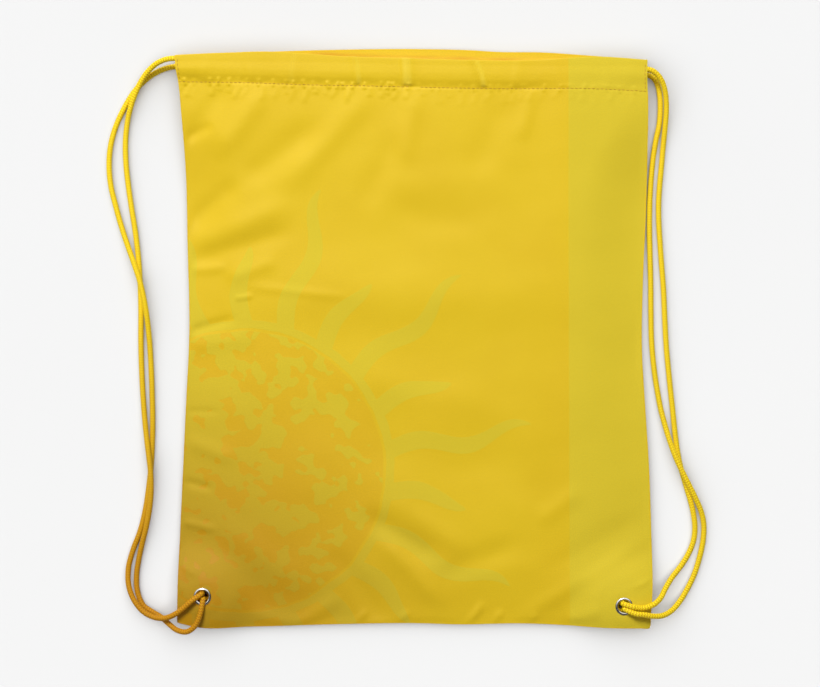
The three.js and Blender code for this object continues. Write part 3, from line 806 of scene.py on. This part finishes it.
def make_bight(side):
    """The turn from the front casing to the back one, at the other end."""
    sign = SIGN[side]
    span = (-sign * (BIGHT_START - 3), -sign * BIGHT_START)
    _, front_y, front_z = run_points(side, "front", *span, 3.0)[-1]
    _, back_y, back_z = run_points(side, "back", *span, 3.0)[-1]
    points = [(span[1], front_y, front_z)]
    for out, share in BIGHT_SHAPE:
        across = -sign * (BIGHT_START + out * BIGHT_REACH)
        points.append((across, front_y + share * (back_y - front_y), front_z + share * (back_z - front_z)))
    points.append((span[1], back_y, back_z))
    bight, _, _ = braided_cord(f"{side}_cord_bight_braid", points)
    stands_for(bight, "cord", f"{side}_cord_bight")
    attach(bight, "back")


strands = []
for side in ("left", "right"):
    for face in ("front", "back"):
        knot = make_knot(side, face)
        strands.append(make_strand(side, face))
        make_run(side, face)
    make_bight(side)
linked(disk_light("cord_fill", **CORD_FILL), strands, "INCLUDE")


# ---------------------------------------------------------------- the bag's surfaces

def lift(x, y):
    """How high the back cloth is held off the floor, by the knots under the eyelets."""
    height = np.zeros_like(x)
    for centre in EYELETS.values():
        beyond = np.maximum(np.hypot(x - centre[0], y - centre[1]) - LIFT_FLAT, 0)
        height = np.maximum(height, LIFT_HEIGHT * np.exp(-(beyond**2) / (2 * LIFT_SPREAD**2)))
    return height


SEAM_LOW = 3.9
SEAM_RISE = 9.0         # how much higher the side seams are at the casing
RISE_START, RISE_LENGTH = 92, 88


def seam_height(x, y):
    """How high the two cloths meet at the sides and the foot: higher at the mouth and over the knots."""
    rise = SEAM_RISE + BAND_RAISE * on_band(x)
    seam = SEAM_LOW + rise * smooth((y - RISE_START) / RISE_LENGTH)
    return larger(seam, lift(x, y) + 1.4, SOFTNESS)


def from_sides(x, y):
    """The distance to the nearer side seam."""
    return np.minimum(x - left_edge(y), right_edge(y) - x)


def wander(x, y, length, seed):
    """A slow, even noise, mostly between -1 and 1, from a few waves in seeded directions."""
    rng = np.random.default_rng(seed)
    total = np.zeros_like(x)
    waves = 9
    for _ in range(waves):
        angle = rng.uniform(0, 2 * np.pi)
        wave = length * rng.uniform(0.7, 1.5)
        total += np.sin(2 * np.pi * (x * np.cos(angle) + y * np.sin(angle)) / wave + rng.uniform(0, 6.28))
    return total / waves * 1.6


def ridge(x, y, start, end, height, width):
    """A fold from start to end: a ridge, or a valley where height is negative."""
    ax, ay = start
    dx, dy = end[0] - ax, end[1] - ay
    span = math.hypot(dx, dy)
    t = ((x - ax) * dx + (y - ay) * dy) / span**2
    off = np.abs((x - ax) * dy - (y - ay) * dx) / span
    profile = np.exp(-((off / width) ** 2))
    return height * profile * smooth(t / 0.3) * smooth((1 - t) / 0.3)


# Folds of the front cloth: start, end, height and width. A valley's height is negative.
FOLDS = [
    ((-104, 186), (-146, 128), 1.5, 9), ((-134, 186), (-168, 138), -1.1, 8),
    ((-62, 160), (-132, 108), -1.6, 11), ((-24, 186), (-100, 104), 1.5, 10), ((2, 186), (-10, 120), 1.1, 8),
    ((-10, 150), (-40, 90), -0.9, 10), ((88, 188), (76, 140), 0.8, 6), ((70, 180), (40, 110), -0.8, 11),
    ((-172, 142), (-144, 156), -0.8, 4), ((-172, 76), (-122, 118), -1.3, 8),
    ((-172, 64), (-84, 100), 1.3, 9), ((-174, 53), (-80, 80), -1.0, 7), ((-140, 42), (-96, 58), 1.0, 6),
    ((-168, 50), (-134, 52), 0.7, 4), ((-150, 35), (150, 30), 1.7, 24), ((-130, 39), (-40, 29), 0.5, 3.5),
    ((-132, 29), (-116, 31), 0.7, 1.7), ((-90, 6), (134, -2), -0.5, 22), ((-30, 92), (60, 82), -0.7, 12),
    ((-30, 110), (80, 116), 0.7, 14), ((-172, 3), (-126, 16), -0.9, 3.4), ((-172, -6), (-112, 2), 0.8, 7),
    ((-174, -53), (-138, -53), -0.4, 2.5), ((-172, -72), (-126, -90), 0.9, 6),
    ((-176, -102), (-144, -110), -0.9, 3), ((-176, -132), (-140, -140), 0.8, 3),
    ((-176, -160), (-150, -177), 0.6, 3), ((-176, -178), (-158, -187), 0.9, 3),
    ((-180, -136), (-86, -204), -1.0, 11), ((-160, -122), (-64, -190), 0.7, 10),
    ((-130, -196), (-70, -216), 0.8, 6), ((-42, -124), (24, -166), -1.9, 8),
    ((-30, -138), (26, -200), 1.5, 8), ((-26, -112), (44, -158), 0.9, 8),
    ((-62, -150), (-16, -212), -1.0, 8), ((10, -176), (84, -146), -1.0, 9),
    ((-90, -212), (-50, -186), 0.9, 6), ((34, -216), (52, -190), 0.8, 3), ((56, -216), (64, -196), 0.7, 3),
    ((80, -216), (90, -198), 0.6, 3), ((-14, -216), (-4, -196), 0.6, 3), ((-46, -216), (-34, -196), 0.7, 3),
    ((64, -212), (182, -138), 0.8, 6), ((84, -176), (176, -124), -0.6, 8),
    ((146, -186), (180, -172), 0.5, 2.5), ((86, -136), (124, -108), 0.8, 7),
    ((108, -206), (140, -196), 0.7, 5), ((-70, -20), (80, -60), 1.0, 16),
    ((-60, -76), (90, -100), -1.1, 18), ((20, -40), (110, -130), -0.9, 16), ((76, 20), (90, -150), 0.5, 14),
]
# Pleats across the front casing: place along the hem, lean, height and width. Each has a steep and a long
# side, and the long side is on the right, or on the left where the width is negative.
PLEATS = [
    (-42, -1.8, 0.9, -1.4), (-7, -0.8, 1.3, 2.3), (47.5, -4.5, 1.1, -1.6), (103, -3.0, 0.4, 3.2),
    (-150, 3.0, 0.4, 4.0), (-92, 2.0, 0.4, 4.5), (74, 2.0, 0.4, 3.0), (140, 1.0, 0.3, 4.0),
    (-120, -2.0, 0.4, 3.4),
]
PLEAT_TAIL = 2.6        # how much longer the long side is


def fold_heights(x, y):
    """How much the folds raise or lower the front cloth."""
    total = 0.5 * wander(x, y, 90, 5) + 0.1 * wander(x, y, 30, 6)
    for start, end, height, width in FOLDS:
        total = total + ridge(x, y, start, end, height, width)
    return total


def hem_puckers(x, y):
    """Small puckers where the stitching draws the cloth in, above and below the stitched line."""
    rng = np.random.default_rng(31)
    total = np.zeros_like(x)
    place = -170.0
    while place < 166:
        line = float(stitch_line(np.array(place)))
        strength = 0.45 + 0.55 * (place < 0)
        lean = rng.uniform(-2.5, 2.5)
        size = rng.uniform(0.3, 1.05) * strength
        total += ridge(x, y, (place, line - 3.4), (place + lean, line + rng.uniform(3.0, 4.6)), size, 1.3)
        slant = rng.uniform(-9, 1)
        size = rng.uniform(0.2, 0.5) * strength
        foot = (place + 3 + slant, line - rng.uniform(7, 15))
        total += ridge(x, y, (place + 3, line + 0.4), foot, size, 2.2)
        place += rng.uniform(4.5, 12)
    line = stitch_line(x)
    seam = -0.16 * np.exp(-(((y - line) / 0.8) ** 2))
    return total + seam


# The front cloth's full height, from the foot of the bag to its mouth.
plateau = through([(-210, 6.6), (-60, 7.4), (60, 8.9), (120, 10.8), (181, 13.3), (210, 13.6)])
EDGE_REACH = 46.0       # how far from the seams the front cloth has risen to its full height
EDGE_REACH_AT_HEM = 16.0
CLAMP_GAP = 2.95        # from the back cloth's middle to the front cloth's, in an eyelet's grip
BAND_RAISE = 1.3        # the cloth under the band stands higher, so that it runs flat into the casing
BAND_RISE = (84, 30)    # where that begins, and over what distance


def on_band(x):
    """1 under the printed band at the right, 0 to the left of it."""
    start, width = BAND_RISE
    return smooth((x - start) / width)


def from_eyelet(x, y):
    return np.minimum(*[np.hypot(x - c[0], y - c[1]) for c in EYELETS.values()])


SOFTNESS = 1.5          # how rounded the change is where one height gives way to another
RIM_ABOVE_SEAM = 0.35
ROOM_OVER_KNOT = 2.2    # the least the front cloth stands above a back cloth that a knot lifts
GRIP_END, GRIP_WIDTH = 17, 9    # around an eyelet, where the two cloths stop being clamped together
FOLDS_START, FOLDS_WIDTH = 8, 14    # around an eyelet, where the folds begin
FOLDS_FROM_EDGE = 7


def front_body(x, y):
    """The front cloth's height below the casing."""
    side, foot = from_sides(x, y), y - bottom_edge(x)
    raised = lift(x, y)
    rim = seam_height(x, y) + RIM_ABOVE_SEAM
    band_height = BAND_RAISE * on_band(x) * smooth((y - 60) / 110)
    full = larger(plateau(y) + band_height, raised + ROOM_OVER_KNOT, SOFTNESS)
    reach = EDGE_REACH + (EDGE_REACH_AT_HEM - EDGE_REACH) * smooth((y - 110) / 70)
    height = rim + (full - rim) * smooth(side / reach) * smooth((foot + 6) / (EDGE_REACH + 6))
    away = from_eyelet(x, y)
    inside = smooth(np.minimum(side, foot) / FOLDS_FROM_EDGE + 0.12)
    loose = inside * smooth((away - FOLDS_START) / FOLDS_WIDTH)
    height = height + fold_heights(x, y) * loose
    grip = smooth((GRIP_END - away) / GRIP_WIDTH)
    return height * (1 - grip) + (raised + CLAMP_GAP) * grip


STITCH_HEIGHT = 13.5
# The cloth climbs over the cords this far above the stitched line, over this width.
CLIMB_PLACE = through([(-172, 5.6), (-100, 5.9), (-50, 5.9), (0, 5.9), (80, 6.0), (112, 6.2), (172, 6.6)])
CLIMB_WIDTH = through([(-172, 9.5), (-60, 9.6), (0, 10.2), (80, 11.0), (112, 12.0), (172, 12.0)])
CREST = 15.45           # the front cloth's height over the cords
CREST_AT_ENDS = 1.0     # how much more it is where the cords come out


def front_outer(x, y):
    """The front cloth's height, over the casing with its two cords as well."""
    line = stitch_line(x)
    low = STITCH_HEIGHT + BAND_RAISE * on_band(x)
    low = low + 0.95 * smooth((y - line) / 7) * (1 - on_band(x)) + 0.12 * wander(x, y, 16, 12)
    gap = CLIMB_PLACE(x) + 0.4 * wander(x, 0 * y, 55, 9)
    width = CLIMB_WIDTH(x) + 0.8 * wander(x, 0 * y, 38, 10)
    climb = smooth((y - line - gap + width / 2) / width)
    between = (RUN_LINES["left", "front"](x) + RUN_LINES["right", "front"](x)) / 2
    dip = 0.1 * np.exp(-(((y - between) / 1.9) ** 2))
    share = (y - line) / (front_top(x) - line)
    pleats = 0
    for place, lean, height, width in PLEATS:
        off = (x - place - lean * (share - 0.5) * 2) / width
        off = np.where(off > 0, off / PLEAT_TAIL, off)
        pleats = pleats + height * np.exp(-(off**2)) * smooth(share / 0.12)
    crest = CREST + CREST_AT_ENDS * smooth((np.abs(x) - 142) / 18) - dip - 0.1 * wander(x, y, 30, 8)
    over_casing = low + (crest - low) * climb + pleats
    body = front_body(x, y)
    return body + (over_casing - body) * smooth((y - line + 2.0) / 3.0) + hem_puckers(x, y)


def back_height(x, y):
    """The back cloth's height, and of the under layer of its casing."""
    edge = np.minimum(from_sides(x, y), y - bottom_edge(x))
    floor = 0.25 + (LIFT_HEIGHT - 0.4) / LIFT_HEIGHT * lift(x, y) + 0.12 * (1 + wander(x, y, 60, 21))
    curl = (1 - smooth(edge / 22)) * smooth((188 - y) / 6)
    return floor + (np.maximum(seam_height(x, y) - 0.3, floor) - floor) * curl


COLUMN_STEP = 1.5
HALF_WIDTH = 171
INSET = 0.9985          # a turned-in layer is a little narrower than its face
HEM_BULGE = 0.15
HEM_HALF_HEIGHT = 2.35


def nominal_columns():
    """Places across the bag, from side to side, closer together at the seams, with one at the middle."""
    at_seam = [0, 0.5, 1.1, 1.8, 2.7, 3.8]
    inner = np.linspace(5, HALF_WIDTH, int((HALF_WIDTH - 5) / COLUMN_STEP))
    left = -HALF_WIDTH + np.concatenate([at_seam, inner])
    return np.concatenate([left, -left[::-1][1:]])


def spread(nominal, y):
    """A nominal place across the bag, set between its two edges at y."""
    share = (nominal + HALF_WIDTH) / (2 * HALF_WIDTH)
    return left_edge(y) + share * (right_edge(y) - left_edge(y))


def hem_grid(shares, outer_z, top_edge, inner_z, tuck):
    """A panel that runs up to its top edge and folds over: points, and their places on the flat cloth."""
    nominal = nominal_columns()
    low = bottom_edge(nominal)
    high = top_edge(nominal) - HEM_BULGE * HEM_HALF_HEIGHT
    points = []
    flats = []
    for share in shares:
        y = low + share * (high - low)
        x = spread(nominal, y)
        points.append(np.stack([x, y, outer_z(x, y)], axis=-1))
        flats.append(np.stack([x, y, 0 * x], axis=-1))
    x, y, z = points[-1].T
    inner = inner_z(x, y)
    middle = (z + inner) / 2
    bend = np.abs(z - inner) / 2
    for turn in np.linspace(0, np.pi, 9)[1:]:
        out = y + HEM_BULGE * bend * np.sin(turn)
        points.append(np.stack([x, out, middle + (z - middle) * np.cos(turn)], axis=-1))
        flats.append(np.stack([x, y + bend * turn, 0 * x + 40], axis=-1))
    for share in np.linspace(0, 1, 20)[1:]:
        down = y - share * tuck
        inside = spread(nominal, down) * INSET
        points.append(np.stack([inside, down, inner_z(inside, down)], axis=-1))
        flats.append(np.stack([x, y + 8 + share * tuck, 0 * x + 40], axis=-1))
    return np.array(points), np.array(flats)


TUCKED_LOW = 10.9       # the front casing's turned-in layer, under the cords
TUCKED_STEP = 0.35      # how far that layer lies under the face, where the two are sewn


def front_inner(x, y):
    """The turned-in layer of the front casing, under the cords."""
    near = smooth((y - stitch_line(x)) / 6)
    sewn = STITCH_HEIGHT - TUCKED_STEP
    tucked = sewn - (sewn - TUCKED_LOW) * near + 0.08 * wander(x, y, 40, 11)
    return np.minimum(tucked, front_outer(x, y) - 0.6)


def row_shares():
    """Where the rows lie between the bottom and the top edge, closer together over the casing."""
    body = np.linspace(0, 0.925, 250)
    start = np.array([0, 0.0012, 0.0026, 0.0044])
    hem = np.linspace(0.925, 1, 46)[1:]
    return np.concatenate([start, body[body > 0.006], hem])


def punch_eyelet(piece, side, radius=5.3):
    """Leaves out the cloth inside the eyelet's barrel."""
    mesh = bmesh.new()
    mesh.from_mesh(piece.data)
    centre = Vector(EYELETS[side]) * MM
    doomed = [f for f in mesh.faces if (f.calc_center_median().xy - centre).length < radius * MM]
    bmesh.ops.delete(mesh, geom=doomed, context="FACES")
    mesh.to_mesh(piece.data)
    mesh.free()


# Painted highlights along the pleats in the front casing, pale strips where they catch the light: place along
# the hem, lean, width and strength.
PLEAT_HIGHLIGHTS = [(-41, -2.2, 1.3, 0.45), (-5.5, -0.8, 3.0, 0.5), (48, -5.5, 1.6, 0.5), (-88, 3.0, 2.0, 0.15)]


def pleat_highlight_strength(points):
    """How much the painted highlight lightens the front cloth along its pleats."""
    x, y = points[..., 0], points[..., 1]
    share = (y - stitch_line(x)) / (front_top(x) - stitch_line(x))
    total = 0
    for place, lean, width, strength in PLEAT_HIGHLIGHTS:
        off = (x - place - lean * (share**2 - 0.4)) / width
        total = total + strength * (1 - smooth(np.abs(off) - 0.5))
    return total * smooth(share / 0.1) * smooth((1.02 - share) / 0.05)


def build_front():
    """The front cloth, printed outside, in two halves, with holes for the eyelets."""
    points, flats = hem_grid(row_shares(), front_outer, front_top, front_inner, 21.0)
    normals = grid_normals(points)
    middle = points.shape[1] // 2
    for side, columns in (("left", slice(0, middle + 1)), ("right", slice(middle, None))):
        piece = cloth_piece(f"front_cloth_{side}", points[:, columns], normals[:, columns], flats[:, columns],
                            PRINTED_CLOTH, PLAIN_CLOTH)
        # The painted highlight along the pleats.
        float_attribute(piece, "pleat_highlight", [pleat_highlight_strength(points[:, columns])] * 2)
        stands_for(piece, "cloth", "front_panel", "front_casing", f"front_corner_{side}")
        punch_eyelet(piece, side)
        blend_with_front(piece)


def back_inner(x, y):
    """The turned-in layer of the back casing, over the back cords."""
    line = stitch_line(x)
    top = BACK_CASING_TOP - 0.45
    cords = np.minimum(np.abs(y - RUN_LINES["left", "back"](x)), np.abs(y - RUN_LINES["right", "back"](x)))
    sag = 1.9 * smooth((cords - 2.2) / 4) * smooth((y - line) / 3)
    down = smooth((line + 5.5 - y) / 5)
    return top - sag * (1 - down) - (top - 0.9) * down + 0.12 * wander(x, y, 36, 22)


# How far the mouth gapes along the front's top edge, 0 to 1.
MOUTH_GAP = through([(-80, 0), (-62, 0.9), (-20, 0.5), (20, 0.9), (55, 1.0), (86, 0.5), (112, 0)])


def mouth_shade(points):
    """How dark the back casing lies beside the front one's top edge, where the mouth gapes."""
    x, y = points[..., 0], points[..., 1]
    open_here = np.where(np.abs(x - 16) < 96, MOUTH_GAP(x), 0) * (0.7 + 0.3 * wander(x, 0 * y, 24, 41))
    return open_here * (1 - smooth((y - front_top(x) - 2.2) / 2.4))


def build_back():
    """The back cloth, with its casing turned in over the back cords."""
    shares = np.concatenate([np.linspace(0, 0.93, 130), np.linspace(0.93, 1, 18)[1:]])
    points, flats = hem_grid(shares, back_height, back_top, back_inner, 24.0)
    normals = grid_normals(points)
    points, normals, flats = points[:, ::2], normals[:, ::2], flats[:, ::2]
    piece = cloth_piece("back_cloth", points, normals, flats, PLAIN_CLOTH, PLAIN_CLOTH)
    float_attribute(piece, "shade", [mouth_shade(points)] * 2)
    stands_for(piece, "cloth", "back_panel", "back_casing")
    for side in EYELETS:
        punch_eyelet(piece, side)
    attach(piece, "back")


def rolled_seam(name, line, width, height):
    """A soft rolled edge along a line of points, which lies over the place where two cloths are sewn."""
    path, _ = smooth_path(line, 1.5)
    tangents = np.gradient(path, axis=0)
    across = np.stack([-tangents[:, 1], tangents[:, 0]], axis=1)
    across /= np.linalg.norm(across, axis=1, keepdims=True)
    sides = 12
    theta = 2 * np.pi * np.arange(sides) / sides
    beat = 1 + 0.10 * np.sin(np.arange(len(path)) * 1.3) + 0.08 * np.sin(np.arange(len(path)) * 0.37)
    flat = width * np.cos(theta)[None, :, None] * across[:, None, :] * beat[:, None, None]
    upright = height * np.sin(theta)[None, :] * beat[:, None]
    vertices = np.concatenate([path[:, None, :2] + flat, (path[:, None, 2] + upright)[..., None]], axis=2)
    index = np.arange(len(path) * sides).reshape(len(path), sides)
    after = np.roll(index, -1, axis=1)
    faces = np.stack([index[:-1], index[1:], after[1:], after[:-1]], axis=-1).reshape(-1, 4).tolist()
    faces += [index[0].tolist(), index[-1, ::-1].tolist()]
    piece = make_mesh(name, vertices.reshape(-1, 3), faces, PLAIN_CLOTH)
    place = np.broadcast_to(path[:, None, :], vertices.shape)
    vector_attribute(piece, "rest", place)
    return piece


def build_seams():
    """Each side's rolled seam, from the casing down the side and along the foot to the middle."""
    inset, step = 0.5, 6.0
    for side, edge in EDGES.items():
        sign = SIGN[side]
        line = [(float(edge(np.array(y))) - sign * inset, y, 0.0) for y in np.arange(183.0, -203.0, -step)]
        corner = float(edge(np.array(-206.0)))
        for across in np.arange(1.0, HALF_WIDTH, step):
            x = corner - sign * across
            line.append((x, float(bottom_edge(np.array(x))) + inset, 0.0))
        line = np.array(line)
        x, y = line[:, 0], line[:, 1]
        line[:, 2] = seam_height(x, y)
        piece = rolled_seam(f"{side}_seam_roll", line, 0.55, 0.6)
        stands_for(piece, "cloth", f"side_seam_{side}")
        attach(piece, "back")


def lathe(name, centre, profile, steps=56):
    """A nickel ring: a closed profile of (radius, height) turned about an upright axis."""
    angles = 2 * np.pi * np.arange(steps) / steps
    radii, heights = np.array(profile, float).T
    ring = np.stack(
        [
            centre[0] + radii[None, :] * np.cos(angles)[:, None],
            centre[1] + radii[None, :] * np.sin(angles)[:, None],
            np.broadcast_to(heights, (steps, len(radii))),
        ],
        axis=-1,
    )
    index = np.arange(steps * len(radii)).reshape(steps, len(radii))
    right, up = np.roll(index, -1, axis=0), np.roll(index, -1, axis=1)
    both = np.roll(right, -1, axis=1)
    faces = np.stack([index, right, both, up], axis=-1).reshape(-1, 4).tolist()
    return make_mesh(name, ring.reshape(-1, 3), faces, NICKEL)


def arc(centre, radius, start, end, count, squash=1.0):
    """Points of an arc, for a lathe's profile. Angles are degrees."""
    angles = np.radians(np.linspace(start, end, count))
    return [(centre[0] + radius * math.cos(a), centre[1] + squash * radius * math.sin(a)) for a in angles]


def build_eyelets():
    """The eyelets, rolled over at the front, and the washers under them at the back."""
    low, high = EYELET_LOW, EYELET_TOP
    shell = arc((5.35, high - 0.75), 1.2, 180, 0, 17, 0.85)
    under = [(6.4, high - 0.95), (5.4, high - 0.85), (4.85, high - 1.0)]
    barrel = [(4.85, low + 0.05), (4.2, low + 0.05)]
    for side, centre in EYELETS.items():
        base, top = (node_box(f"washer_{side}")[k][2] for k in (0, 1))
        middle, half = (base + top) / 2, (top - base) / 2
        washer = arc((6.9, middle), half, 90, -90, 7) + arc((5.4, middle), half, -90, -270, 7)
        for node, profile in (("eyelet", shell + under + barrel), ("washer", washer)):
            piece = lathe(f"{node}_{side}_ring", centre, profile)
            stands_for(piece, "nickel", f"{node}_{side}")
            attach(piece, "back")


STITCH = 3.1            # from one stitch to the next
STITCH_LENGTH = 2.2
STITCH_RADIUS = 0.22
STITCH_RINGS = 6
STITCH_SIDES = 6


def stitches(name, line, height_at):
    """A row of short threads along a line of (x, y), lying on the cloth at height_at."""
    step = 0.3
    path, length = smooth_path([(x, y, 0) for x, y in line], step)
    vertices, faces = [], []
    for k in range(int(length / STITCH)):
        wobble = 0.1 * math.sin(k * 2.4)
        start = k * STITCH + step
        spots = np.linspace(start, start + STITCH_LENGTH, STITCH_RINGS) / step
        base = len(vertices)
        for j, spot in enumerate(spots):
            i = int(min(spot, len(path) - 2))
            here = path[i]
            tangent = path[i + 1] - path[i]
            tangent = tangent / np.linalg.norm(tangent)
            side = np.array([-tangent[1], tangent[0], 0])
            bow = math.sin(math.pi * (j + 0.35) / (STITCH_RINGS - 0.3))
            z = height_at(here[0:1], here[1:2])[0] + 0.02 + 0.2 * bow
            for angle in np.linspace(0, 2 * np.pi, STITCH_SIDES + 1)[:-1]:
                radius = STITCH_RADIUS * (0.45 + 0.55 * bow)
                spot_at = here + side * (radius * math.cos(angle) + wobble)
                vertices.append((spot_at[0], spot_at[1], z + radius * math.sin(angle)))
        for j in range(STITCH_RINGS - 1):
            for m in range(STITCH_SIDES):
                a = base + STITCH_SIDES * j + m
                b = base + STITCH_SIDES * j + (m + 1) % STITCH_SIDES
                faces.append([a, b, b + STITCH_SIDES, a + STITCH_SIDES])
        ring = np.arange(base, base + STITCH_SIDES)
        faces.append(ring[::-1].tolist())
        faces.append((ring + STITCH_SIDES * (STITCH_RINGS - 1)).tolist())
    return make_mesh(name, vertices, faces, THREAD)


def front_face(x, y):
    return front_outer(x, y) + CLOTH / 2


def back_face(x, y):
    """Under the back cloth, where its stitches show."""
    return back_height(x, y) - CLOTH / 2 - 0.15


def on_stitch_line(places):
    return [(x, float(stitch_line(np.array(x)))) for x in places]


HEM_ENDS = {"left": -171.0, "right": 168.0}
CASING_TOPS = {"left": 203.0, "right": 199.5}


def build_stitches():
    """The line under the front casing, a short upright line at each of its ends, and the back's line."""
    for side, end in HEM_ENDS.items():
        line = on_stitch_line(np.linspace(end, SIGN[side] * 1.2, 30))
        piece = stitches(f"front_hem_stitches_{side}", line, front_face)
        stands_for(piece, "thread", "front_hem_thread")
        blend_with_front(piece)
        heights = np.linspace(line[0][1] + 1.5, CASING_TOPS[side], 6)
        upright = [(float(EDGES[side](np.array(y))) - SIGN[side] * 1.7, y) for y in heights]
        piece = stitches(f"casing_end_stitches_{side}", upright, front_face)
        blend_with_front(piece)
    piece = stitches("back_hem_stitches", on_stitch_line(np.linspace(-168, 166, 60)), back_face)
    stands_for(piece, "thread", "back_hem_thread")
    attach(piece, "back")


build_back()
build_front()
build_seams()
build_eyelets()
build_stitches()
